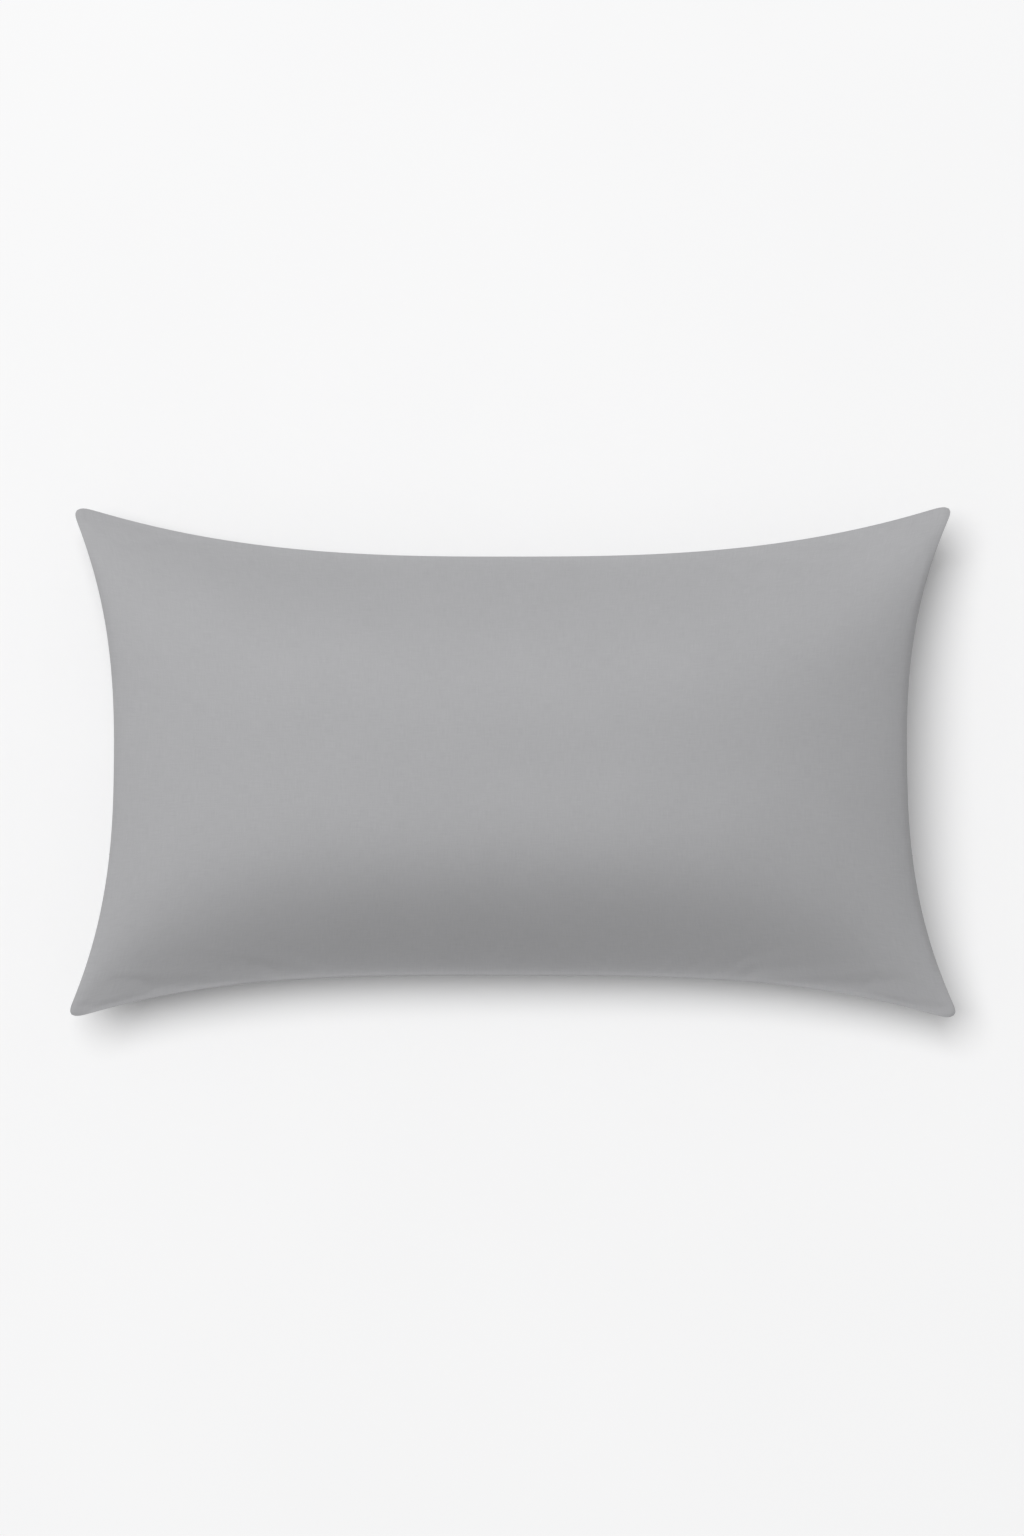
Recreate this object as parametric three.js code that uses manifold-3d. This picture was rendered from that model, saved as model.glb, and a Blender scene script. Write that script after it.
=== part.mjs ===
// A king-size bed pillow in a zipped cover, lying on its back.
// The cover is two back pieces and a front piece sewn round the edge, with a concealed coil zip across the
// underside. Inside it is the pillow itself: a piped ticking of two pieces round a fibre filling.
// Millimetres. X runs along the pillow, Y across it, Z up. The origin is on the surface that it lies on,
// under the middle of its outline. "Far" is +Y, "near" is -Y.
import * as THREE from "three";
import { mergeVertices } from "three/addons/utils/BufferGeometryUtils.js";
import Module from "manifold-3d";

const wasm = await Module();
wasm.setup();

// ---- Driving dimensions -------------------------------------------------------------------------------

const CORNERS = {
  farLeft: [-433, 250],
  farRight: [433, 251.5],
  nearLeft: [-438, -250],
  nearRight: [438, -251.5],
};
// Each side is drawn in between its corners by the filling: how far, and how the curve spreads.
const FAR_SIDE = { sag: 47, spread: 2.75 };
const NEAR_SIDE = { sag: 40, spread: 3.2 };
const LEFT_SIDE = { sag: 43, spread: 2.45 };
const RIGHT_SIDE = { sag: 47, spread: 2.45 };

const CROWN_HEIGHT = 200;
const EDGE_HEIGHT = 60; // of the seam, along the two long sides
const END_LIFT = 36; // how much higher it runs at the middle of the two short sides
const LENGTHWISE_SWELL = { power: 2.9, root: 0.7 };
const CROSSWISE_SWELL = { power: 3.4, root: 1.6 };
const FLAT_FROM = 0.66; // the underside is flat where the swell is more than this share of the whole
const UNDERSIDE_ROUND = 2;

const COVER_CLOTH = 1.2;
const TICKING_CLOTH = 1.2;
const SEWN_GAP = 0.3; // between two pieces that are sewn together
const COVER = { corner: 0, side: 0, depth: 0 };
const TICKING = { corner: 42, side: 14, depth: 2.6 };
const FILLING = { corner: 50, side: 18, depth: 5 };

const COVER_SEAM = { corner: 26, side: 5, radius: 1 };
const PIPING = { corner: 36, side: 11, radius: 2 };

const ZIP_Y = -90;
const ZIP_SLOT = { length: 500, width: 9, cutFrom: -1, cutDepth: 12 };
const ZIP_TAPE = { length: 524, width: 12, thickness: 0.6, bottom: 6.5 };
const ZIP_COIL = { length: 484, width: 1.8, thickness: 1.3, bottom: 4.9 };
const CHAIN_GAP = 1.8; // between the two coils, where the slider's wedge runs
// The cloth rises into a shallow valley along the zip, and the pillow inside it rises further.
const COVER_VALLEY = { lift: 5, flat: 6, fade: 24, end: 280, endFade: 30 };
const INNER_VALLEY = { lift: 6.6, flat: 18, fade: 28, end: 280, endFade: 30 };
const FILLING_VALLEY = { lift: 8.4, flat: 22, fade: 30, end: 296, endFade: 36 };

const SLIDER = { x: 236, length: 11, width: 7.2, plate: 0.9, lip: 0.6, bottom: 3.6, top: 8.3 };
const WEDGE = { length: 3, width: 1.1, x: 3 };
const HINGE = { z: 2.2, pin: 0.5, bore: 0.8, barrel: 1, lugs: 0.8, lugReach: 1.3, lugRoot: 0.5, width: 4 };
const PULL = { length: 24, width: 4.4, thickness: 0.9, heel: 0.6, neck: 7.2, neckWidth: 2.8, eye: 1 };
const STOP = { length: 3, thickness: 1.3 };
const BARTACK = { length: 2.4, width: 12, thickness: 0.8 };

const COVER_LABEL = { x: 175, y: -30, length: 50, width: 28 };
const TICKING_LABEL = { x: -190, y: 62, length: 60, width: 40 };
const LABEL = { bottom: 1.6, thickness: 0.6 };

const ALONG = 24; // grid steps of the large pieces of cloth, along X
const NEAR_ZIP = 6; // and along Y, on the near side of the zip's line
const BEYOND_ZIP = 10; // and beyond it
const RING_STEPS = 88;
const ROUND = 16; // sides of a small round part

// ---- Materials ----------------------------------------------------------------------------------------

const material = (color, roughness, metalness = 0) =>
  new THREE.MeshStandardMaterial({ color, roughness, metalness });
const coverCotton = material(0xa0a1a3, 0.8);
const coverThread = material(0x8e8f92, 0.85);
const tickingCotton = material(0xf1efe9, 0.85);
const fibre = material(0xfafaf7, 1);
const labelSatin = material(0xf6f5f2, 0.5);
const zipTape = material(0x8b8c90, 0.8);
const zipNylon = material(0x7d7e82, 0.45);
const zipMetal = material(0xb9babd, 0.35, 1);

// ---- The pillow's form --------------------------------------------------------------------------------

const lerp = THREE.MathUtils.lerp;
const rising = (from, to, value) => THREE.MathUtils.smoothstep(value, from, to);

// The outline seen from above, drawn in by `corner` at its corners and by `side` at the middle of its
// sides. Each side gives a point for t from -1 to 1 along +X or +Y.
function outline({ corner, side }) {
  const inward = ([x, y]) => [x - Math.sign(x) * corner, y - Math.sign(y) * corner];
  const drawn = (from, to, { sag, spread }, pullX, pullY) => {
    const [a, b] = [inward(CORNERS[from]), inward(CORNERS[to])];
    return (t) => {
      const pull = (sag + side - corner) * (1 - Math.abs(t) ** spread);
      return [lerp(a[0], b[0], (t + 1) / 2) + pullX * pull, lerp(a[1], b[1], (t + 1) / 2) + pullY * pull];
    };
  };
  return {
    far: drawn("farLeft", "farRight", FAR_SIDE, 0, -1),
    near: drawn("nearLeft", "nearRight", NEAR_SIDE, 0, 1),
    left: drawn("nearLeft", "farLeft", LEFT_SIDE, 1, 0),
    right: drawn("nearRight", "farRight", RIGHT_SIDE, -1, 0),
  };
}

const clampUnit = (t) => Math.max(-1, Math.min(1, t));

// How far out a point is, from 0 at the middle to 1 at the outline, along X and across Y.
function outwardness(edges, x, y) {
  const xSide = x < 0 ? edges.left : edges.right;
  const ySide = y < 0 ? edges.near : edges.far;
  const yEnd = Math.abs(xSide(Math.sign(y) || 1)[1]);
  const xEnd = Math.abs(ySide(Math.sign(x) || 1)[0]);
  return {
    along: Math.min(1, x / xSide(clampUnit(y / yEnd))[0]),
    across: Math.min(1, y / ySide(clampUnit(x / xEnd))[1]),
  };
}

// 1 at the crown, 0 at the outline.
function swell(edges, x, y) {
  const { along, across } = outwardness(edges, x, y);
  const share = (out, { power, root }) => Math.max(0, 1 - Math.abs(out) ** power) ** root;
  return share(along, LENGTHWISE_SWELL) * share(across, CROSSWISE_SWELL);
}

const coverEdges = outline(COVER);

function seamHeight(x, y) {
  const { along, across } = outwardness(coverEdges, x, y);
  return EDGE_HEIGHT + END_LIFT * along ** 4 * (1 - across ** 2);
}

// An outer face stays `rim` off the seam's plane, so that the cloth keeps its thickness out to the seam.
function upperSurface(edges, depth, x, y, rim = 0) {
  const seam = seamHeight(x, y) + SEWN_GAP / 2 + rim;
  return seam + (CROWN_HEIGHT - depth - seam) * swell(edges, x, y);
}

function valleyLift({ lift, flat, fade, end, endFade }, x, y) {
  const across = 1 - rising(flat, flat + fade, Math.abs(y - ZIP_Y));
  const along = 1 - rising(end, end + endFade, Math.abs(x));
  return lift * across * along;
}

function lowerSurface(edges, depth, valley, x, y, rim = 0) {
  const height = seamHeight(x, y) - SEWN_GAP / 2 - rim - depth;
  const left = Math.max(0, 1 - swell(edges, x, y) / FLAT_FROM) ** UNDERSIDE_ROUND;
  return depth + height * left + valleyLift(valley, x, y);
}

// ---- Making solids ------------------------------------------------------------------------------------

// Grid lines from -1 to 1, closer together towards the ends, where the cloth turns most.
const gridLines = (steps) =>
  Array.from({ length: steps + 1 }, (_, i) => Math.sin((Math.PI / 2) * ((2 * i) / steps - 1)));

// The rows of every whole piece, so that pieces sewn together have their corners in the same places.
const zipRow = lerp(-1, 1, (ZIP_Y - CORNERS.nearLeft[1]) / (CORNERS.farLeft[1] - CORNERS.nearLeft[1]));
const wholeRows = [
  ...gridLines(NEAR_ZIP).map((t) => lerp(-1, zipRow, (t + 1) / 2)),
  ...gridLines(BEYOND_ZIP).slice(1).map((t) => lerp(zipRow, 1, (t + 1) / 2)),
];

// A piece of cloth, or a body between two surfaces: a box of one layer, each of its points moved to
// place(s, t, top).
function clothPiece(columns, rows, place) {
  const box = new THREE.BoxGeometry(2, 2, 2, columns.length - 1, rows.length - 1, 1);
  const position = box.getAttribute("position");
  const line = (lines, value) => lines[Math.round(((value + 1) / 2) * (lines.length - 1))];
  for (let i = 0; i < position.count; i++) {
    const s = line(columns, position.getX(i));
    const t = line(rows, position.getY(i));
    position.setXYZ(i, ...place(s, t, position.getZ(i) > 0));
  }
  box.computeVertexNormals();
  return box;
}

// A point inside four sides that meet at their ends, s and t running from -1 to 1 along X and Y.
function inside({ near, far, left, right }, s, t) {
  const [a, b] = [(s + 1) / 2, (t + 1) / 2];
  const [n, f, l, r] = [near(s), far(s), left(t), right(t)];
  const [nl, nr, fl, fr] = [near(-1), near(1), far(-1), far(1)];
  return [0, 1].map(
    (k) =>
      (1 - b) * n[k] + b * f[k] + (1 - a) * l[k] + a * r[k] -
      ((1 - a) * (1 - b) * nl[k] + a * (1 - b) * nr[k] + (1 - a) * b * fl[k] + a * b * fr[k]),
  );
}

function solidOf(geometry) {
  const bare = geometry.clone();
  bare.deleteAttribute("normal");
  bare.deleteAttribute("uv");
  const { attributes, index } = mergeVertices(bare, 1e-3);
  const vertProperties = attributes.position.array;
  const triVerts = new Uint32Array(index.array);
  return new wasm.Manifold(new wasm.Mesh({ numProp: 3, vertProperties, triVerts }));
}

function geometryOf(solid) {
  const { vertProperties, triVerts, numProp, numVert } = solid.getMesh();
  const points = new Float32Array(numVert * 3);
  for (let i = 0; i < numVert; i++) {
    points.set(vertProperties.subarray(i * numProp, i * numProp + 3), i * 3);
  }
  const geometry = new THREE.BufferGeometry();
  geometry.setAttribute("position", new THREE.BufferAttribute(points, 3));
  geometry.setIndex(new THREE.BufferAttribute(triVerts, 1));
  geometry.computeVertexNormals();
  return geometry;
}

const joined = (first, ...others) =>
  geometryOf(others.reduce((solid, other) => solid.add(solidOf(other)), solidOf(first)));
const cut = (first, ...others) =>
  geometryOf(others.reduce((solid, other) => solid.subtract(solidOf(other)), solidOf(first)));

const boxAt = (x0, x1, y0, y1, z0, z1) =>
  new THREE.BoxGeometry(x1 - x0, y1 - y0, z1 - z0).translate((x0 + x1) / 2, (y0 + y1) / 2, (z0 + z1) / 2);

const pillow = new THREE.Group();
function add(name, geometry, look, parent = pillow) {
  const mesh = new THREE.Mesh(geometry, look);
  mesh.name = name;
  parent.add(mesh);
  return mesh;
}

// ---- The cover ----------------------------------------------------------------------------------------

// A layer one thickness of cloth further in, for a piece's inner face.
const innerLayer = ({ corner, side, depth }, cloth) => ({
  corner: corner + cloth,
  side: side + cloth,
  depth: depth + cloth,
});

function upperCloth(layer, cloth) {
  const inner = innerLayer(layer, cloth);
  const [outerEdges, innerEdges] = [outline(layer), outline(inner)];
  return clothPiece(gridLines(ALONG), wholeRows, (s, t, top) => {
    const edges = top ? outerEdges : innerEdges;
    const [x, y] = inside(edges, s, t);
    return [x, y, upperSurface(edges, top ? layer.depth : inner.depth, x, y, top ? cloth : 0)];
  });
}

// The part of an outline on one side of the zip's line, with that line as its fourth side.
function besideZip(edges, far) {
  const gap = far ? SEWN_GAP / 2 : -SEWN_GAP / 2;
  const lineY = ZIP_Y + gap;
  const share = (side) => {
    const [nearY, farY] = [side(-1)[1], side(1)[1]];
    return ((lineY - nearY) / (farY - nearY)) * 2 - 1;
  };
  const part = (side) => {
    const [from, to] = far ? [share(side), 1] : [-1, share(side)];
    return (t) => side(lerp(from, to, (t + 1) / 2));
  };
  const [leftX] = edges.left(share(edges.left));
  const [rightX] = edges.right(share(edges.right));
  const zipLine = (s) => [lerp(leftX, rightX, (s + 1) / 2), lineY];
  return {
    near: far ? zipLine : edges.near,
    far: far ? edges.far : zipLine,
    left: part(edges.left),
    right: part(edges.right),
  };
}

function backCloth(far, steps) {
  const inner = innerLayer(COVER, COVER_CLOTH);
  const innerEdges = outline(inner);
  const [outerPart, innerPart] = [besideZip(coverEdges, far), besideZip(innerEdges, far)];
  return clothPiece(gridLines(ALONG), gridLines(steps), (s, t, top) => {
    const [x, y] = inside(top ? innerPart : outerPart, s, t);
    if (top) return [x, y, lowerSurface(innerEdges, inner.depth, COVER_VALLEY, x, y)];
    return [x, y, lowerSurface(coverEdges, COVER.depth, COVER_VALLEY, x, y, COVER_CLOTH)];
  });
}

const slotShape = (() => {
  const { length, width } = ZIP_SLOT;
  const shape = new THREE.Shape();
  shape.absarc(length / 2 - width / 2, 0, width / 2, -Math.PI / 2, Math.PI / 2);
  shape.absarc(-length / 2 + width / 2, 0, width / 2, Math.PI / 2, (3 * Math.PI) / 2);
  return shape;
})();
const slot = new THREE.ExtrudeGeometry(slotShape, {
  depth: ZIP_SLOT.cutDepth,
  bevelEnabled: false,
  curveSegments: 6,
});
slot.translate(0, ZIP_Y, ZIP_SLOT.cutFrom);

add("case_front_panel", upperCloth(COVER, COVER_CLOTH), coverCotton);
add("case_back_panel", cut(backCloth(true, BEYOND_ZIP), slot), coverCotton);
add("case_zip_side_panel", cut(backCloth(false, NEAR_ZIP), slot), coverCotton);

// A round cord or roll of cloth that runs all round, just inside the outline.
class EdgeLoop extends THREE.Curve {
  constructor(layer) {
    super();
    this.edges = outline(layer);
  }
  getPoint(t, target = new THREE.Vector3()) {
    const turn = (t % 1) * 4;
    const along = (turn % 1) * 2 - 1;
    const { near, right, far, left } = this.edges;
    const [x, y] = [near(along), right(along), far(-along), left(-along)][Math.floor(turn)];
    return target.set(x, y, seamHeight(x, y));
  }
  // Each side takes an equal share of the steps, so that a step falls on every corner.
  getUtoTmapping(u) {
    return u;
  }
}

function edgeRing(layer, sides) {
  return new THREE.TubeGeometry(new EdgeLoop(layer), RING_STEPS, layer.radius, sides, true);
}

add("case_edge_seam", edgeRing(COVER_SEAM, 6), coverThread);

function label({ x, y, length, width }) {
  const { bottom, thickness } = LABEL;
  return boxAt(x - length / 2, x + length / 2, y - width / 2, y + width / 2, bottom, bottom + thickness);
}
add("case_care_label", label(COVER_LABEL), labelSatin);

// ---- The zip ------------------------------------------------------------------------------------------

// The zip's two sides mirror each other about its line: side is 1 for the far one, -1 for the near one.
function zipSide(name, side) {
  const strip = ({ length, width, thickness, bottom }, from) => {
    const [a, b] = [ZIP_Y + side * from, ZIP_Y + side * (from + width)];
    return boxAt(-length / 2, length / 2, Math.min(a, b), Math.max(a, b), bottom, bottom + thickness);
  };
  add(`zip_tape_${name}`, strip(ZIP_TAPE, CHAIN_GAP / 2), zipTape);
  add(`zip_coil_${name}`, strip(ZIP_COIL, CHAIN_GAP / 2), zipNylon);
  const stopAt = { ...ZIP_COIL, length: STOP.length, thickness: STOP.thickness };
  const stopX = ZIP_COIL.length / 2 + SEWN_GAP + STOP.length / 2;
  add(`zip_top_stop_${name}`, strip(stopAt, CHAIN_GAP / 2).translate(stopX, 0, 0), zipMetal);
}
zipSide("far", 1);
zipSide("near", -1);

function bottomStop() {
  const reach = CHAIN_GAP / 2 + ZIP_COIL.width;
  const x = -ZIP_COIL.length / 2 - SEWN_GAP;
  const { bottom } = ZIP_COIL;
  return boxAt(x - STOP.length, x, ZIP_Y - reach, ZIP_Y + reach, bottom, bottom + STOP.thickness);
}
add("zip_bottom_stop", bottomStop(), zipMetal);

// A bar of stitches across each end of the slot.
function bartack(x) {
  const top = COVER_VALLEY.lift - SEWN_GAP;
  const [end, half] = [BARTACK.length / 2, BARTACK.width / 2];
  return boxAt(x - end, x + end, ZIP_Y - half, ZIP_Y + half, top - BARTACK.thickness, top);
}
const bartackX = ZIP_SLOT.length / 2 + BARTACK.length;
add("zip_bartack_left", bartack(-bartackX), coverThread);
add("zip_bartack_right", bartack(bartackX), coverThread);

// A cylinder along Y about the pull's hinge line.
const roundAcross = (radius, width) => new THREE.CylinderGeometry(radius, radius, width, ROUND);

function slider() {
  const { length, width, plate, lip, bottom, top } = SLIDER;
  const [end, half] = [length / 2, width / 2];
  const lowerPlate = boxAt(-end, end, -half, half, bottom, bottom + plate);
  const upperPlate = boxAt(-end, end, -half, half, top - plate, top);
  const wedge = boxAt(
    WEDGE.x - WEDGE.length / 2, WEDGE.x + WEDGE.length / 2, -WEDGE.width / 2, WEDGE.width / 2, bottom, top,
  );
  const lipTop = ZIP_COIL.bottom + ZIP_COIL.thickness;
  const lips = [
    boxAt(-end, end, half - lip, half, bottom, lipTop),
    boxAt(-end, end, -half, lip - half, bottom, lipTop),
  ];
  const { lugReach, lugRoot } = HINGE;
  const lug = (y0, y1) => boxAt(-lugReach, lugReach, y0, y1, HINGE.z - HINGE.barrel, bottom + lugRoot);
  const inner = HINGE.width / 2 + SEWN_GAP;
  const lugs = [lug(inner, inner + HINGE.lugs), lug(-inner - HINGE.lugs, -inner)];
  const pin = roundAcross(HINGE.pin, 2 * inner + HINGE.lugs).translate(0, 0, HINGE.z);
  return joined(lowerPlate, upperPlate, wedge, ...lips, ...lugs, pin);
}

function pull() {
  const { length, width, thickness, heel, neck, neckWidth } = PULL;
  const tab = new THREE.Shape();
  const [root, tip] = [HINGE.width / 2, width / 2];
  tab.moveTo(-heel, -root);
  tab.lineTo(-heel, root);
  tab.lineTo(-neck, neckWidth / 2);
  tab.lineTo(-length + tip, tip);
  tab.absarc(-length + tip, 0, tip, Math.PI / 2, (3 * Math.PI) / 2);
  tab.lineTo(-neck, -neckWidth / 2);
  const eye = new THREE.Path();
  eye.absarc(-length + tip, 0, PULL.eye, 0, 2 * Math.PI);
  tab.holes.push(eye);
  const blade = new THREE.ExtrudeGeometry(tab, { depth: thickness, bevelEnabled: false, curveSegments: 8 });
  blade.translate(0, 0, HINGE.z - thickness / 2);
  const barrel = roundAcross(HINGE.barrel, HINGE.width).translate(0, 0, HINGE.z);
  const bore = roundAcross(HINGE.bore, 2 * HINGE.width).translate(0, 0, HINGE.z);
  return geometryOf(solidOf(blade).add(solidOf(barrel)).subtract(solidOf(bore)));
}

const runner = new THREE.Group();
runner.position.set(SLIDER.x, ZIP_Y, 0);
pillow.add(runner);
add("zip_slider", slider(), zipMetal, runner);
add("zip_pull", pull(), zipMetal, runner);

// ---- The pillow inside the cover ----------------------------------------------------------------------

function lowerTicking() {
  const inner = innerLayer(TICKING, TICKING_CLOTH);
  const [outerEdges, innerEdges] = [outline(TICKING), outline(inner)];
  return clothPiece(gridLines(ALONG), wholeRows, (s, t, top) => {
    const edges = top ? innerEdges : outerEdges;
    const depth = top ? inner.depth : TICKING.depth;
    const [x, y] = inside(edges, s, t);
    return [x, y, lowerSurface(edges, depth, INNER_VALLEY, x, y, top ? 0 : TICKING_CLOTH)];
  });
}

function filling() {
  const edges = outline(FILLING);
  return clothPiece(gridLines(ALONG), wholeRows, (s, t, top) => {
    const [x, y] = inside(edges, s, t);
    const z = top
      ? upperSurface(edges, FILLING.depth, x, y)
      : lowerSurface(edges, FILLING.depth, FILLING_VALLEY, x, y);
    return [x, y, z];
  });
}

add("insert_top_ticking", upperCloth(TICKING, TICKING_CLOTH), tickingCotton);
add("insert_bottom_ticking", lowerTicking(), tickingCotton);
add("insert_piping", edgeRing(PIPING, 8), tickingCotton);
add("insert_label", label(TICKING_LABEL), labelSatin);
add("fibre_fill", filling(), fibre);

export default pillow;
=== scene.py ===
"""A king-size bed pillow, lying on its back, in a grey cotton cover with a zip across the underside.

Metres. X runs along the pillow, Y across it, Z up, as in the CAD model. "Far" is +Y, "near" is -Y.
The cover's form is a formula, to which a cloth simulation adds the small puckers beside the seam. The
ticking and the filling inside it are smaller copies of the same form, and the zip fills the slot in the
underside.
"""

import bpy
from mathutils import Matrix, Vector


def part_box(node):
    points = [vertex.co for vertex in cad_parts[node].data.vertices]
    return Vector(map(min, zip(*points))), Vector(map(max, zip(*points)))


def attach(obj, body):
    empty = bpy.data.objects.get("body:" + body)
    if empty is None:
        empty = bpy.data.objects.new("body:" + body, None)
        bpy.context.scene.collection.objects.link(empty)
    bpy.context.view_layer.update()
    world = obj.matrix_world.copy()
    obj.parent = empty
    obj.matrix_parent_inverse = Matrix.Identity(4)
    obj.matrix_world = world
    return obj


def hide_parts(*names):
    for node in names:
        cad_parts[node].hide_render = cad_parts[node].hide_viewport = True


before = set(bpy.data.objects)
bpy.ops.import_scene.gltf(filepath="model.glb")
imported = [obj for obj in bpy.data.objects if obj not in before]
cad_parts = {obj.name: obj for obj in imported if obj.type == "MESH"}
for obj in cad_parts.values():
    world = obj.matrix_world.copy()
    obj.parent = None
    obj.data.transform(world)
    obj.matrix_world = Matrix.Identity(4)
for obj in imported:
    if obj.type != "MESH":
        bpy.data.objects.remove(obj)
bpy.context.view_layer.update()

import math

import bmesh
import bpy
import numpy as np
from mathutils import Vector

MM = 0.001

# ---- Driving dimensions -------------------------------------------------------------------------------

CORNERS = {
    "far_left": (-0.4365, 0.2535),
    "far_right": (0.4355, 0.2540),
    "near_left": (-0.4410, -0.2530),
    "near_right": (0.4420, -0.2555),
}
TIP_RADIUS = {"far_left": 0.0055, "far_right": 0.0040, "near_left": 0.0040, "near_right": 0.0065}
# How far each side is drawn in, how the curve spreads, and how much of it the square tips give back.
SIDES = {
    "far": (0.0500, 2.75, 0.0030),
    "near": (0.0430, 3.20, 0.0030),
    "left": (0.0460, 2.45, 0.0030),
    "right": (0.0510, 2.45, 0.0030),
}
TIP_BLEND = 0.0015

CROWN_HEIGHT = 0.200
EDGE_HEIGHT = 0.060  # of the seam, along the two long sides
END_LIFT = 0.036  # how much higher it runs at the middle of the two short sides
LENGTHWISE_SWELL = (2.9, 0.70)
CROSSWISE_SWELL = (3.4, 1.60)
FLAT_FROM = 0.66
FLAT_PATTERN = (0.465, 0.2650)  # half the length and half the width that the cover was cut to
EXTRA_CLOTH = 0.04  # share by which the cloth beside the seam is cut too large
EXTRA_CLOTH_POWERS = (16, 8)  # how closely that keeps to the ends and to the long sides
PUCKER_DEPTH = 1.0  # share of the simulated puckers that is kept beside the seam
PUCKER_POWERS = (14, 7)  # how closely they keep to the ends and to the long sides
PUCKER_REACH = (7, 9)  # grid steps along an end and along a side that a pucker is measured against
PUCKER_SMOOTHING = 60  # rounds of blurring that part the puckers from the swell as a whole

ZIP_Y = -0.090
SLOT = {"half_length": 0.250, "half_width": 0.0045}
ZIP_VALLEY = {"lift": 0.005, "flat": 0.006, "fade": 0.024, "end": 0.280, "end_fade": 0.030}
INNER_VALLEY = {"lift": 0.0066, "flat": 0.018, "fade": 0.028, "end": 0.280, "end_fade": 0.030}
FILLING_VALLEY = {"lift": 0.0084, "flat": 0.022, "fade": 0.030, "end": 0.296, "end_fade": 0.036}

ALONG = 150  # grid steps of the simulated cloth
ACROSS = 100
ZIP_ROW = 32  # the row that the zip's line falls on
CLOTH_FRAMES = 20
COVER_CLOTH = 0.45 * MM
TICKING_CLOTH = 0.4 * MM

# The insert's pieces are the cover's form, made smaller about a point in its middle.
MIDDLE = (0, 0, 0.076)
TICKING_SCALE = (0.952, 0.920, 0.976, 0.966)  # X, Y, Z above the middle, Z below it
FILLING_SCALE = (0.942, 0.903, 0.962, 0.935)
CORNER_DRAW = (0.060, 0.100)  # how much smaller the insert is at its corners than along its sides
PIPING_RADIUS = 1.9 * MM

# ---- Camera, floor and light --------------------------------------------------------------------------

PICTURE_HEIGHT = 1.5206  # of what the camera sees at the seam's level
CAMERA_HEIGHT = 4.2
SEAM_LEVEL = 0.070
PILLOW_OFF_CENTRE = (-0.0010, -0.0059)
KEY_DIRECTION = Vector((-0.27, 0.31, 1.0))
KEY_DISTANCE = 25
KEY_SIZE = 20
KEY_POWER = 5700
ROOM_LIGHT = 0.34


def add_object(name, data):
    obj = bpy.data.objects.new(name, data)
    bpy.context.scene.collection.objects.link(obj)
    return obj


def mesh_of(name, points, faces):
    mesh = bpy.data.meshes.new(name)
    mesh.from_pydata(points.tolist(), [], [[int(i) for i in face] for face in faces])
    mesh.update()
    return mesh


def make_camera():
    data = bpy.data.cameras.new("camera")
    data.sensor_width = 36
    data.lens = data.sensor_width * (CAMERA_HEIGHT - SEAM_LEVEL) / PICTURE_HEIGHT
    camera = add_object("camera", data)
    camera.location = (*PILLOW_OFF_CENTRE, CAMERA_HEIGHT)
    bpy.context.scene.camera = camera


def make_floor():
    size = 14
    corners = [(-size, -size, 0), (size, -size, 0), (size, size, 0), (-size, size, 0)]
    floor = add_object("floor", mesh_of("floor", np.array(corners, float), [(0, 1, 2, 3)]))
    floor.data.materials.append(floor_paint())


def make_light():
    world = bpy.data.worlds.new("studio")
    bpy.context.scene.world = world
    world.use_nodes = True
    background = world.node_tree.nodes["Background"]
    background.inputs["Color"].default_value = (1.0, 1.0, 1.0, 1)
    background.inputs["Strength"].default_value = ROOM_LIGHT
    data = bpy.data.lights.new("softbox", "AREA")
    data.shape = "DISK"
    data.size = KEY_SIZE
    data.energy = KEY_POWER
    softbox = add_object("softbox", data)
    softbox.location = KEY_DIRECTION.normalized() * KEY_DISTANCE
    softbox.rotation_euler = KEY_DIRECTION.to_track_quat("Z", "Y").to_euler()
    bpy.context.scene.view_settings.view_transform = "Standard"


# ---- Materials ----------------------------------------------------------------------------------------


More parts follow.
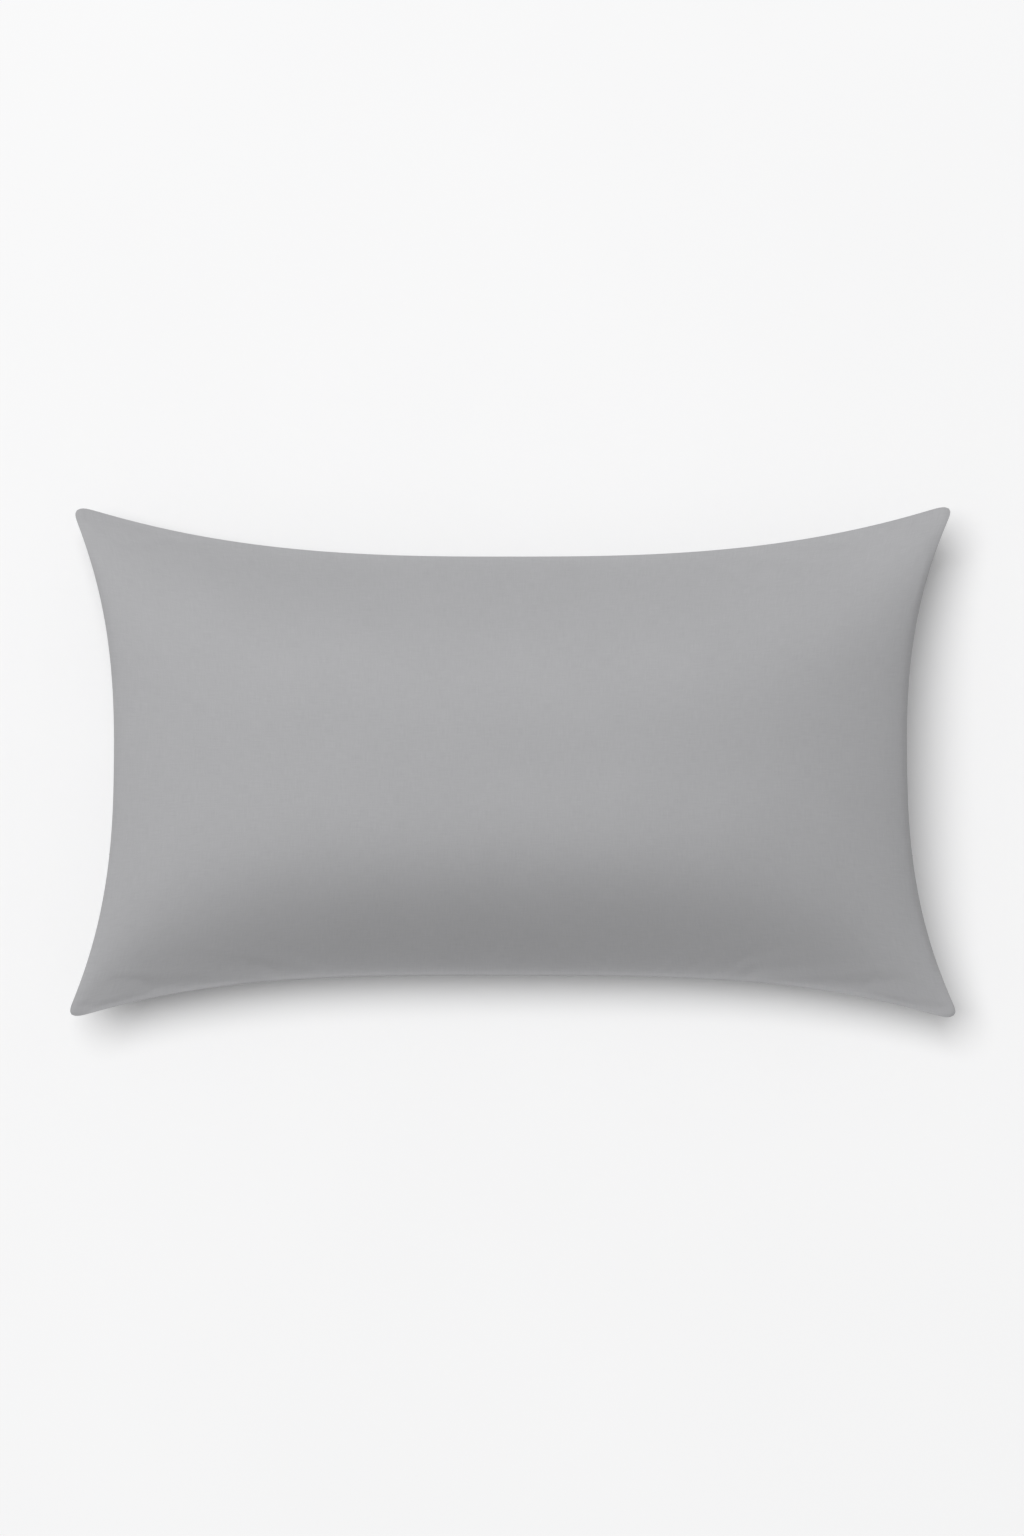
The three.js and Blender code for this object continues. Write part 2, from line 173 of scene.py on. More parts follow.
class Shader:
    """A new material, with short ways to add and link its nodes."""

    def __init__(self, name, roughness, specular=0.25, sheen=0.0, metallic=0.0):
        self.material = bpy.data.materials.new(name)
        self.material.use_nodes = True
        self.nodes = self.material.node_tree.nodes
        self.surface = self.nodes["Principled BSDF"]
        self.set(self.surface, Roughness=roughness, Metallic=metallic, Specular_IOR_Level=specular)
        self.set(self.surface, Sheen_Weight=sheen, Sheen_Roughness=0.45)

    def plug(self, socket, value):
        if hasattr(value, "node"):
            self.material.node_tree.links.new(value, socket)
        else:
            socket.default_value = value

    def set(self, node, **values):
        for name, value in values.items():
            self.plug(node.inputs[name.replace("_", " ")], value)
        return node

    def add(self, kind, settings=None, **values):
        node = self.nodes.new(kind)
        for name, value in (settings or {}).items():
            setattr(node, name, value)
        return self.set(node, **values)

    def math(self, operation, a, b):
        node = self.add("ShaderNodeMath", {"operation": operation})
        self.plug(node.inputs[0], a)
        self.plug(node.inputs[1], b)
        return node.outputs[0]

    def place(self, attribute=None):
        """Where a point is: a named attribute, or else its place in the object, in metres."""
        if attribute:
            return self.add("ShaderNodeAttribute", {"attribute_name": attribute}).outputs["Vector"]
        return self.add("ShaderNodeTexCoord").outputs["Object"]

    def stretched(self, vector, scale):
        return self.add("ShaderNodeMapping", Vector=vector, Scale=scale).outputs[0]

    def noise(self, vector, scale, detail=2.0):
        return self.add("ShaderNodeTexNoise", Vector=vector, Scale=scale, Detail=detail).outputs[0]

    def bands(self, vector, direction, spacing, wander=0.6):
        """Soft ridges across one direction, a given spacing apart."""
        settings = {"wave_type": "BANDS", "bands_direction": direction}
        node = self.add("ShaderNodeTexWave", settings, Vector=vector, Scale=math.pi / 10 / spacing)
        return self.set(node, Distortion=wander, Detail=1.0).outputs["Fac"]

    def between(self, factor, low, high, dark, light):
        """Goes from the dark colour to the light one as the factor goes from low to high."""
        share = self.add("ShaderNodeMapRange", None, Value=factor, From_Min=low, From_Max=high).outputs[0]
        node = self.add("ShaderNodeMix", {"data_type": "RGBA"})
        for index, value in ((0, share), (6, (*dark, 1)), (7, (*light, 1))):
            self.plug(node.inputs[index], value)
        return node.outputs[2]

    def bump(self, height, distance, strength=0.5):
        return self.add("ShaderNodeBump", Height=height, Distance=distance, Strength=strength).outputs[0]

    def finish(self, colour, bump=None):
        self.set(self.surface, Base_Color=colour)
        if bump:
            self.set(self.surface, Normal=bump)
        return self.material


def floor_paint():
    shader = Shader("floor_paint", 0.9, specular=0.1)
    tone = shader.noise(shader.place(), 3.0)
    return shader.finish(shader.between(tone, 0.3, 0.7, (0.858, 0.858, 0.861), (0.866, 0.866, 0.869)))


def woven(name, dark, light, spacing, slub, roughness, sheen):
    """Plain weave of two close shades, with thicker threads here and there.

    The "cloth" attribute holds each point's place on the flat cloth, in metres.
    """
    shader = Shader(name, roughness, sheen=sheen)
    cloth = shader.place("cloth")
    weft = shader.noise(shader.stretched(cloth, (60, 900, 1)), 1.0, 3.0)
    warp = shader.noise(shader.stretched(cloth, (900, 60, 1)), 1.0, 3.0)
    slubs = shader.math("ADD", weft, warp)
    cloudy = shader.math("MULTIPLY", shader.noise(cloth, 12.0, 3.0), 0.2)
    tone = shader.math("ADD", shader.math("MULTIPLY", slubs, slub), cloudy)
    middle = slub + 0.1
    colour = shader.between(tone, middle - 0.25, middle + 0.25, dark, light)
    crossed = shader.math("MULTIPLY", shader.bands(cloth, "X", spacing), shader.bands(cloth, "Y", spacing))
    height = shader.math("ADD", crossed, slubs)
    return shader.finish(colour, shader.bump(height, spacing * 0.3))


def cover_cotton():
    return woven("cover_cotton", (0.345, 0.345, 0.354), (0.395, 0.395, 0.405), 0.5 * MM, 0.5, 0.72, 0.05)


def ticking_cotton():
    return woven("ticking_cotton", (0.66, 0.64, 0.58), (0.80, 0.785, 0.73), 0.35 * MM, 0.4, 0.75, 0.1)


def label_satin():
    shader = Shader("label_satin", 0.35, specular=0.4, sheen=0.1)
    where = shader.place()
    threads = shader.bands(where, "X", 0.3 * MM, 0.2)
    tone = shader.noise(where, 60.0)
    colour = shader.between(tone, 0.3, 0.7, (0.78, 0.775, 0.76), (0.84, 0.835, 0.82))
    return shader.finish(colour, shader.bump(threads, 0.05 * MM))


def cover_thread():
    """Twisted sewing thread."""
    shader = Shader("cover_thread", 0.6, sheen=0.2)
    twist = shader.bands(shader.place(), "DIAGONAL", 0.35 * MM, 1.5)
    # The colour follows the twist's ridges: painted shade in the grooves between the plies, painted light on
    # their crowns.
    colour = shader.between(twist, 0.0, 1.0, (0.24, 0.24, 0.25), (0.36, 0.36, 0.37))
    return shader.finish(colour, shader.bump(twist, 0.08 * MM))


def zip_tape_weave():
    """Close warp ribs that run along the tape."""
    shader = Shader("zip_tape", 0.75, sheen=0.1)
    where = shader.place()
    ribs = shader.bands(where, "Y", 0.8 * MM, 0.3)
    weft = shader.bands(where, "X", 0.5 * MM, 0.8)
    height = shader.math("ADD", ribs, shader.math("MULTIPLY", weft, 0.4))
    # The colour follows the ribs' height: painted shade in the grooves between them, painted light on the
    # ribs.
    colour = shader.between(height, 0.0, 1.4, (0.17, 0.17, 0.178), (0.30, 0.30, 0.31))
    return shader.finish(colour, shader.bump(height, 0.2 * MM))


def nylon():
    shader = Shader("zip_nylon", 0.32, specular=0.5)
    tone = shader.noise(shader.place(), 400.0)
    return shader.finish(shader.between(tone, 0.3, 0.7, (0.17, 0.17, 0.178), (0.25, 0.25, 0.26)))


def satin_nickel():
    shader = Shader("zip_metal", 0.3, specular=0.5, metallic=1.0)
    brushed = shader.noise(shader.stretched(shader.place(), (300, 6000, 6000)), 1.0, 3.0)
    colour = shader.between(brushed, 0.3, 0.7, (0.50, 0.49, 0.475), (0.66, 0.65, 0.635))
    return shader.finish(colour, shader.bump(brushed, 0.02 * MM))


def loose_fibre():
    """Matted white fibre: fine curled streaks of light and shade."""
    shader = Shader("fibre", 0.95, specular=0.1, sheen=0.4)
    where = shader.place()
    curls = shader.bands(where, "DIAGONAL", 2.0 * MM, 14.0)
    height = shader.math("ADD", shader.math("MULTIPLY", curls, 0.35), shader.noise(where, 45.0, 5.0))
    colour = shader.between(height, 0.3, 1.0, (0.72, 0.72, 0.71), (0.90, 0.90, 0.89))
    return shader.finish(colour, shader.bump(height, 2.0 * MM, 0.7))


# ---- The pillow's form --------------------------------------------------------------------------------


def side_curve(name):
    """The seam on one side, seen from above, for t from -1 to 1 along +X or +Y."""
    ends = {
        "far": ("far_left", "far_right", (0, -1)),
        "near": ("near_left", "near_right", (0, 1)),
        "left": ("near_left", "far_left", (1, 0)),
        "right": ("near_right", "far_right", (-1, 0)),
    }
    start, end, inward = ends[name]
    sag, spread, given_back = SIDES[name]

    def curve(t):
        t = np.asarray(t, float)[..., None]
        chord = np.array(CORNERS[start]) + (np.array(CORNERS[end]) - np.array(CORNERS[start])) * (t + 1) / 2
        # Level with the tip to begin with, and then drawn in.
        pull = (sag + given_back) * (1 - np.abs(t) ** spread) - given_back
        pull = (pull + np.sqrt(pull**2 + TIP_BLEND**2)) / 2
        return chord + pull * np.array(inward)

    return curve


def patch(near, far, left, right, s, t):
    """Points inside four sides that meet at their ends (a Coons patch)."""
    a, b = ((s + 1) / 2)[..., None], ((t + 1) / 2)[..., None]
    ends = [side(np.array(end)) for side in (near, far) for end in (-1.0, 1.0)]
    flat = (1 - b) * ((1 - a) * ends[0] + a * ends[1]) + b * ((1 - a) * ends[2] + a * ends[3])
    return (1 - b) * near(s) + b * far(s) + (1 - a) * left(t) + a * right(t) - flat


def with_round_tips(plan):
    """Draws the points near each corner back along its diagonal, which rounds the tip."""
    for name, corner in CORNERS.items():
        inward = -np.sign(corner) / math.sqrt(2)
        depth = (plan - np.array(corner)) @ inward
        drawn_back = np.sqrt(depth**2 + TIP_RADIUS[name] ** 2) - np.abs(depth)
        plan = plan + drawn_back[..., None] * inward
    return plan


def whole_plan(s, t):
    return with_round_tips(patch(*[side_curve(name) for name in ("near", "far", "left", "right")], s, t))


def swell_share(s, t):
    """1 at the crown, 0 at the seam."""
    (power_s, root_s), (power_t, root_t) = LENGTHWISE_SWELL, CROSSWISE_SWELL
    lengthwise = np.maximum(0, 1 - np.abs(s) ** power_s) ** root_s
    return lengthwise * np.maximum(0, 1 - np.abs(t) ** power_t) ** root_t


def grid_places():
    return np.meshgrid(np.linspace(-1, 1, ALONG + 1), np.linspace(-1, 1, ACROSS + 1), indexing="ij")


def with_straight_zip_row(plan, t):
    """Moves the rows about the zip's line, so that one of them lies on it from end to end."""
    row = 2 * ZIP_ROW / ACROSS - 1
    miss = ZIP_Y - plan[:, ZIP_ROW, 1]
    share = np.where(t < row, (t + 1) / (row + 1), (1 - t) / (1 - row))
    plan = plan.copy()
    plan[..., 1] += miss[:, None] * smoothly(0, 1, share)
    return plan


def designed_cover():
    """The front and the back as grids of points that share their edges."""
    s, t = grid_places()
    share = swell_share(s, t)
    seam = EDGE_HEIGHT + END_LIFT * s**4 * (1 - t**2)
    front_z = seam + (CROWN_HEIGHT - seam) * share
    back_z = seam * np.maximum(0, 1 - share / FLAT_FROM) ** 2
    plan = whole_plan(s, t)
    front = np.concatenate([plan, front_z[..., None]], -1)
    back = np.concatenate([with_straight_zip_row(plan, t), back_z[..., None]], -1)
    for edge in (np.s_[0], np.s_[-1], np.s_[:, 0], np.s_[:, -1]):
        back[edge] = front[edge]
    return front, back


# ---- The cloth simulation -----------------------------------------------------------------------------


def quads(ids):
    corners = (ids[:-1, :-1], ids[1:, :-1], ids[1:, 1:], ids[:-1, 1:])
    return np.stack(corners, -1).reshape(-1, 4)


class ClosedCover:
    """One closed mesh of the two grids, which share the points of their edges."""

    def __init__(self):
        columns, rows = ALONG + 1, ACROSS + 1
        self.front_ids = np.arange(columns * rows).reshape(columns, rows)
        inner = np.arange((columns - 2) * (rows - 2)).reshape(columns - 2, rows - 2)
        self.back_ids = self.front_ids.copy()
        self.back_ids[1:-1, 1:-1] = columns * rows + inner
        self.faces = np.concatenate([quads(self.front_ids), quads(self.back_ids)[:, ::-1]])

    def joined(self, front, back):
        """One value for each point of the mesh, from one grid of values for each layer."""
        points = np.zeros((self.back_ids.max() + 1,) + front.shape[2:])
        points[self.back_ids] = back
        points[self.front_ids] = front
        return points


def add_group(obj, name, weights):
    group = obj.vertex_groups.new(name=name)
    for index, weight in enumerate(weights):
        if weight > 0:
            group.add([index], float(weight), "REPLACE")
    return name


def simulate(front, back):
    """Swells the cover with the seam and the flat of the underside held where they are.

    The cloth near the seam is cut a little large, so that it puckers there.
    """
    cover = ClosedCover()
    s, t = grid_places()
    edge = np.zeros_like(s)
    edge[0] = edge[-1] = edge[:, 0] = edge[:, -1] = 1
    grounded = np.maximum(edge, swell_share(s, t) > FLAT_FROM)
    slack = np.maximum(np.abs(s) ** EXTRA_CLOTH_POWERS[0], np.abs(t) ** EXTRA_CLOTH_POWERS[1])
    obj = add_object("simulated", mesh_of("simulated", cover.joined(front, back), cover.faces))
    modifier = obj.modifiers.new("Cloth", "CLOTH")
    cloth = modifier.settings
    cloth.quality = 8
    cloth.mass = 0.15
    cloth.tension_stiffness = 60
    cloth.compression_stiffness = 30
    cloth.shear_stiffness = 12
    cloth.bending_stiffness = 0.1
    cloth.use_pressure = True
    cloth.uniform_pressure_force = 6
    cloth.effector_weights.gravity = 0
    cloth.vertex_group_mass = add_group(obj, "pinned", cover.joined(edge, grounded))
    cloth.vertex_group_shrink = add_group(obj, "slack", cover.joined(slack, slack))
    cloth.shrink_min = 0
    cloth.shrink_max = -EXTRA_CLOTH
    modifier.collision_settings.use_collision = False
    modifier.point_cache.frame_start = 1
    modifier.point_cache.frame_end = CLOTH_FRAMES
    for number in range(1, CLOTH_FRAMES + 1):
        bpy.context.scene.frame_set(number)
    swelled = obj.evaluated_get(bpy.context.evaluated_depsgraph_get()).data
    points = np.zeros(len(swelled.vertices) * 3)
    swelled.vertices.foreach_get("co", points)
    bpy.data.objects.remove(obj)
    bpy.context.scene.frame_set(1)
    points = points.reshape(-1, 3)
    return points[cover.front_ids], points[cover.back_ids]


def blurred(grid, rounds):
    """A grid with each point drawn to its neighbours, its edges held."""
    grid = grid.copy()
    for _ in range(rounds):
        inside = grid[1:-1, 1:-1]
        around = grid[:-2, 1:-1] + grid[2:, 1:-1] + grid[1:-1, :-2] + grid[1:-1, 2:]
        grid[1:-1, 1:-1] = inside / 2 + around / 8
    return grid


def running_mean(grid, reach, axis):
    """The mean of each point and its neighbours along one axis."""
    grid = np.moveaxis(grid, axis, 0)
    padded = np.concatenate([grid[:1].repeat(reach, 0), grid, grid[-1:].repeat(reach, 0)])
    mean = sum(padded[k : k + len(grid)] for k in range(2 * reach + 1)) / (2 * reach + 1)
    return np.moveaxis(mean, 0, axis)


def with_puckers(designed, simulated):
    """The designed form with the simulation's small wrinkles that run in from the seam."""
    moved = simulated - designed
    moved = moved - blurred(moved, PUCKER_SMOOTHING)
    s, t = grid_places()
    beside_end, beside_side = np.abs(s) ** PUCKER_POWERS[0], np.abs(t) ** PUCKER_POWERS[1]
    across_end = moved - running_mean(moved, PUCKER_REACH[0], 1)
    across_side = moved - running_mean(moved, PUCKER_REACH[1], 0)
    puckers = across_end * beside_end[..., None] + across_side * beside_side[..., None]
    return designed + puckers * PUCKER_DEPTH


# ---- Finer surfaces -----------------------------------------------------------------------------------


def along_curve(grid, places, axis):
    """The grid at fractional places along one axis, on smooth curves through its points."""
    grid = np.moveaxis(grid, axis, 0)
    padded = np.concatenate([2 * grid[:1] - grid[1:2], grid, 2 * grid[-1:] - grid[-2:-1]])
    start = np.clip(np.floor(places).astype(int), 0, len(grid) - 2)
    f = (places - start).reshape((-1,) + (1,) * (grid.ndim - 1))
    a, b, c, d = (padded[start + k] for k in range(4))
    result = b + f / 2 * (c - a + f * (2 * a - 5 * b + 4 * c - d + f * (3 * (b - c) + d - a)))
    return np.moveaxis(result, 0, axis)


def resampled(grid, columns, rows):
    return along_curve(along_curve(grid, columns, 0), rows, 1)


CLOSE_LINES = [0.0006, 0.0012, 0.0020, 0.0030, 0.0042]  # metres from a seam


def fine_lines(steps, half_length, start=0, end=None, per_step=2, edges=(True, True)):
    """Places of the finer grid lines: some to each simulated step, and closer still beside a seam."""
    end = steps if end is None else end
    lines = list(np.linspace(start, end, per_step * (end - start) + 1))
    per_metre = steps / (2 * half_length)
    if edges[0]:
        lines += [start + d * per_metre for d in CLOSE_LINES]
    if edges[1]:
        lines += [end - d * per_metre for d in CLOSE_LINES]
    return np.unique(np.round(lines, 6))


def normals_of(grid):
    """Unit normals of a grid of points, up for a surface seen from above."""
    normal = np.cross(np.gradient(grid, axis=0), np.gradient(grid, axis=1))
    return normal / np.maximum(np.linalg.norm(normal, axis=-1, keepdims=True), 1e-12)


def flat_places(columns, rows):
    """Where the grid's points lie on the flat cloth."""
    x = (columns / ALONG * 2 - 1) * FLAT_PATTERN[0]
    y = (rows / ACROSS * 2 - 1) * FLAT_PATTERN[1]
    return np.stack(np.meshgrid(x, y, indexing="ij"), -1)


def to_seam(cloth):
    return np.minimum(FLAT_PATTERN[0] - np.abs(cloth[..., 0]), FLAT_PATTERN[1] - np.abs(cloth[..., 1]))


def shell(name, outer, inner, cloth, up=True):
    """A closed sheet between two grids. cloth is each point's place on the flat cloth."""
    count = outer.shape[0] * outer.shape[1]
    ids = np.arange(count).reshape(outer.shape[:2])
    rim = np.concatenate([ids[:-1, 0], ids[-1, :-1], ids[:0:-1, -1], ids[0, :0:-1]])
    after = np.roll(rim, -1)
    walls = np.stack([rim, rim + count, after + count, after], -1)
    faces = np.concatenate([quads(ids), quads(ids + count)[:, ::-1], walls])
    if not up:
        faces = faces[:, ::-1]
    mesh = mesh_of(name, np.concatenate([outer.reshape(-1, 3), inner.reshape(-1, 3)]), faces)
    flat = np.concatenate([cloth.reshape(-1, 2)] * 2)
    flat = np.concatenate([flat, np.zeros((len(flat), 1))], 1)
    mesh.attributes.new("cloth", "FLOAT_VECTOR", "POINT").data.foreach_set("vector", flat.ravel())
    return add_object(name, mesh)


def smoothly(start, end, value):
    share = np.clip((value - start) / (end - start), 0, 1)
    return share * share * (3 - 2 * share)


def valley_lift(valley, points):
    x, y = np.abs(points[..., 0]), np.abs(points[..., 1] - ZIP_Y)
    across = 1 - smoothly(valley["flat"], valley["flat"] + valley["fade"], y)
    return valley["lift"] * across * (1 - smoothly(valley["end"], valley["end"] + valley["end_fade"], x))


def settle(piece, body, slot_name, material, *nodes):
    """Gives a finished piece its body and its material, and hides the CAD nodes that it stands for."""
    piece.data.materials.clear()
    piece.data.materials.append(material)
    piece.data.polygons.foreach_set("use_smooth", [True] * len(piece.data.polygons))
    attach(piece, body)
    if nodes:
        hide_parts(*nodes)
    return piece


def merged(name, parts):
    """One object of several (points, faces) parts."""
    points, faces, count = [], [], 0
    for part_points, part_faces in parts:
        points.append(part_points)
        faces += [[i + count for i in face] for face in part_faces]
        count += len(part_points)
    return add_object(name, mesh_of(name, np.concatenate(points), faces))


def tube(centres, radius, sides, closed=False):
    """A tube along a line of points. radius is one number, or one for each point."""
    centres = np.array(centres, float)
    count = len(centres)
    ahead = np.roll(centres, -1, 0) - np.roll(centres, 1, 0)
    if not closed:
        ahead[0], ahead[-1] = centres[1] - centres[0], centres[-1] - centres[-2]
    ahead /= np.linalg.norm(ahead, axis=1, keepdims=True)
    across = np.cross(ahead, [0.0, 0.0, 1.0])
    across /= np.maximum(np.linalg.norm(across, axis=1, keepdims=True), 1e-9)
    up = np.cross(across, ahead)
    angles = np.arange(sides) / sides * 2 * math.pi
    ring = np.cos(angles)[:, None] * across[:, None] + np.sin(angles)[:, None] * up[:, None]
    points = centres[:, None] + ring * np.broadcast_to(radius, count)[:, None, None]
    ids = np.arange(count * sides).reshape(count, sides)
    ids = np.concatenate([ids, ids[:, :1]], 1)
    if closed:
        ids = np.concatenate([ids, ids[:1]])
    faces = [list(face) for face in quads(ids)]
    if not closed:
        faces += [list(ids[0, :-1])[::-1], list(ids[-1, :-1])]
    return points.reshape(-1, 3), faces


def stitch(start, end, lift, radius):
    """One stitch of thread, which rises in the middle and dips into the cloth at its ends."""
    start, end = np.array(start, float), np.array(end, float)
    shares = np.linspace(0, 1, 5)
    bow = np.sin(shares * math.pi)
    centres = start + (end - start) * shares[:, None] + np.array(lift) * (bow[:, None] - 0.35)
    return tube(centres, radius * (0.55 + 0.45 * bow), 5)


# ---- The cover ----------------------------------------------------------------------------------------

SEAM_DRAW = 0.5 * MM  # how far the cloth stands proud of the seam's line
SEAM_ROLL = 2 * MM
HEM_RADIUS = 0.5 * MM  # of the edges turned in along the zip
HEM_WIDTH = 10 * MM
HEM_FADE = (0.300, 0.350)  # along X, where the turned-in edges narrow
HEM_LOSS = 0.97  # share of the turned-in edges that is gone at the side seams
HEM_PULL = 0.040  # from the zip's line, how far the cloth is drawn back from it
OVERLOCK = {
    "inset": (0.016, 0.028),  # from the ends and from the sides, as shares of the half length and half width
    "squareness": 12,
    "step": 1.3 * MM,
    "half_width": 2.8 * MM,
    "half_thickness": 0.75 * MM,
    "ridges": 0.18,
}
COIL = {
    "half_length": 0.2415,
    "pitch": 1.4 * MM,
    "middle": 1.25 * MM,
    "reach": 1.35 * MM,
    "level": 5.55 * MM,
    "height": 0.45 * MM,
    "filament": 0.3 * MM,
}
ZIP_TAPE = {"half_length": 0.262, "columns": 132, "level": 6.85 * MM}
TAPE_ACROSS = np.array([0.9, 1.3, 3, 6, 9.5, 12.5, 12.9]) * MM  # from the zip's line
TAPE_THICKNESS = np.array([0.6, 0.75, 0.55, 0.5, 0.5, 0.65, 0.5]) * MM
# Stitches are sunk into the cloth's face, and each bows out of it by its own height.
STITCH = {
    "half_length": 0.252,  # of the whole line
    "from_line": 9.0 * MM,
    "pitch": 3.1 * MM,
    "length": 2.6 * MM,
    "sunk": 0.2 * MM,
    "bow": 0.25 * MM,
    "thread": 0.22 * MM,
}
BARTACK = {
    "x": 0.2524,
    "half_width": 6 * MM,
    "half_length": 1.2 * MM,
    "pitch": 0.42 * MM,
    "lean": 0.2 * MM,
    "sunk": 0.45 * MM,
    "bow": 0.35 * MM,
    "thread": 0.24 * MM,
}
LABEL = {
    "half_thickness": 0.1 * MM,
    "wave": 0.15 * MM,
    "stitches_from_end": 2 * MM,
    "pitch": 2.6 * MM,
    "length": 2.1 * MM,
    "thread": 0.15 * MM,
}
STOP_ROUNDING = 0.3 * MM
SLIDER_ROUNDING = 0.14 * MM


def front_panel(front, material):
    columns = fine_lines(ALONG, FLAT_PATTERN[0])
    rows = fine_lines(ACROSS, FLAT_PATTERN[1])
    fine = resampled(front, columns, rows)
    cloth = flat_places(columns, rows)
    outward = normals_of(fine)
    roll = SEAM_DRAW * (1 - np.exp(-to_seam(cloth) / SEAM_ROLL))
    outer = fine + outward * roll[..., None]
    piece = shell("cover_front", outer, outer - outward * COVER_CLOTH, cloth)
    settle(piece, "pillow", "cover_cotton", material, "case_front_panel")


def turned_share(points):
    """How much of the turned-in edge there is: all of it beside the zip, almost none at the side seams."""
    return 1 - HEM_LOSS * smoothly(*HEM_FADE, np.abs(points[..., 0]))


def with_turned_edge(sheet, cloth, far):
    """Adds rows to a grid so that its edge along the zip is turned in and lies on the cloth's inside."""
    if not far:
        sheet, cloth = with_turned_edge(sheet[:, ::-1] * (1, -1, 1), cloth[:, ::-1] * (1, -1), True)
        return sheet[:, ::-1] * (1, -1, 1), cloth[:, ::-1] * (1, -1)
    edge, edge_cloth = sheet[:, :1], cloth[:, :1]
    share = turned_share(edge)
    turns = np.radians([150, 120, 90, 60, 30])
    bend = np.stack([0 * turns, -np.sin(turns), 1 - np.cos(turns)], -1) * HEM_RADIUS
    turned = edge + bend * share[..., None]
    depths = np.array([1.0, 0.7, 0.4, 0.1]) * HEM_WIDTH
    away = sheet[..., 1] - edge[..., 1]
    y = edge[..., 1] + depths * share
    lift = np.stack([np.interp(depths * share[i], away[i], sheet[i, :, 2]) for i in range(len(sheet))])
    folded = np.stack([edge[..., 0].repeat(len(depths), 1), y, lift + 2 * HEM_RADIUS * share], -1)
    sheet = np.concatenate([folded, turned, sheet], 1)
    steps = np.concatenate([-depths, -turns * HEM_RADIUS])
    extra = edge_cloth + np.stack([0 * steps, steps], -1)
    return sheet, np.concatenate([extra, cloth], 1)


def back_panel(name, node, back, material, far):
    """One side of the back, its edge drawn back along the slot for the zip."""
    start, end = (ZIP_ROW, ACROSS) if far else (0, ZIP_ROW)
    round_ends = np.linspace(SLOT["half_length"] - 1.2 * SLOT["half_width"], SLOT["half_length"], 9)
    round_ends = np.interp([*round_ends, *-round_ends], back[:, ZIP_ROW, 0], np.arange(ALONG + 1))
    columns = np.union1d(fine_lines(ALONG, FLAT_PATTERN[0]), np.round(round_ends, 6))
    rows = fine_lines(ACROSS, FLAT_PATTERN[1], start, end, edges=(not far, far))
    fine = resampled(back, columns, rows)
    fine[..., 2] = np.maximum(fine[..., 2], 0) + valley_lift(ZIP_VALLEY, fine)
    x = np.abs(fine[..., 0])
    past_end = np.clip((x - (SLOT["half_length"] - SLOT["half_width"])) / SLOT["half_width"], 0, 1)
    gap = np.maximum(SLOT["half_width"] * np.sqrt(1 - past_end**2), HEM_RADIUS * turned_share(fine))
    from_line = np.abs(fine[..., 1] - ZIP_Y)
    fine[..., 1] += (1 if far else -1) * gap * np.maximum(0, 1 - from_line / HEM_PULL)
    fine, cloth = with_turned_edge(fine, flat_places(columns, rows), far)
    outward = -normals_of(fine)
    piece = shell(name, fine, fine - outward * COVER_CLOTH, cloth, up=False)
    settle(piece, "pillow", "cover_cotton", material, node)


def ring_places(inset, square, count):
    """Places round the inside of the outline: a square with soft corners."""
    turns = np.arange(count) / count * 2 * math.pi
    reach = (np.abs(np.cos(turns)) ** square + np.abs(np.sin(turns)) ** square) ** (-1 / square)
    s, t = reach * np.cos(turns), reach * np.sin(turns)
    return (s * (1 - inset[0]) + 1) * ALONG / 2, (t * (1 - inset[1]) + 1) * ACROSS / 2


def at_places(grid, i, j):
    """The grid at pairs of fractional places."""
    i0 = np.clip(np.floor(i).astype(int), 0, grid.shape[0] - 2)
    j0 = np.clip(np.floor(j).astype(int), 0, grid.shape[1] - 2)
    a, b = (i - i0)[:, None], (j - j0)[:, None]
    low = grid[i0, j0] * (1 - a) + grid[i0 + 1, j0] * a
    high = grid[i0, j0 + 1] * (1 - a) + grid[i0 + 1, j0 + 1] * a
    return low * (1 - b) + high * b


def even_steps(points, step):
    """Points at even steps along a closed line."""
    closed = np.concatenate([points, points[:1]])
    along = np.concatenate([[0], np.cumsum(np.linalg.norm(np.diff(closed, axis=0), axis=1))])
    places = np.arange(round(along[-1] / step)) * along[-1] / round(along[-1] / step)
    return np.stack([np.interp(places, along, closed[:, k]) for k in range(3)], -1)


def edge_seam(front, back, material):
    """The overlocked seam allowance inside the edge: a flat band, ridged by its loops of thread."""
    places = ring_places(OVERLOCK["inset"], OVERLOCK["squareness"], 1200)
    middle = (at_places(front, *places) + at_places(back, *places)) / 2
    centres = even_steps(middle, OVERLOCK["step"])
    loops = 1 + OVERLOCK["ridges"] * np.cos(np.arange(len(centres)) * 2 * math.pi / 3)
    points, faces = tube(centres, 1.0 * MM, 8, closed=True)
    from_centre = points.reshape(len(centres), 8, 3) - centres[:, None]
    half_size = np.array([OVERLOCK["half_width"], OVERLOCK["half_width"], OVERLOCK["half_thickness"]])
    from_centre *= half_size / MM * loops[:, None, None]
    piece = merged("cover_edge_seam", [((centres[:, None] + from_centre).reshape(-1, 3), faces)])
    settle(piece, "pillow", "cover_thread", material, "case_edge_seam")


# ---- The zip ------------------------------------------------------------------------------------------


def zip_tape(name, node, side, material):
    """A woven tape, a little thicker at its edges."""
    x = np.linspace(-ZIP_TAPE["half_length"], ZIP_TAPE["half_length"], ZIP_TAPE["columns"])
    grid = np.stack(np.meshgrid(x, ZIP_Y + side * TAPE_ACROSS, indexing="ij"), -1)
    thickness = TAPE_THICKNESS * np.ones((len(x), 1))
    lower = np.concatenate([grid, (ZIP_TAPE["level"] - thickness / 2)[..., None]], -1)
    upper = np.concatenate([grid, (ZIP_TAPE["level"] + thickness / 2)[..., None]], -1)
    piece = shell(name, upper, lower, grid, up=side > 0)
    settle(piece, "pillow", "zip_tape", material, node)


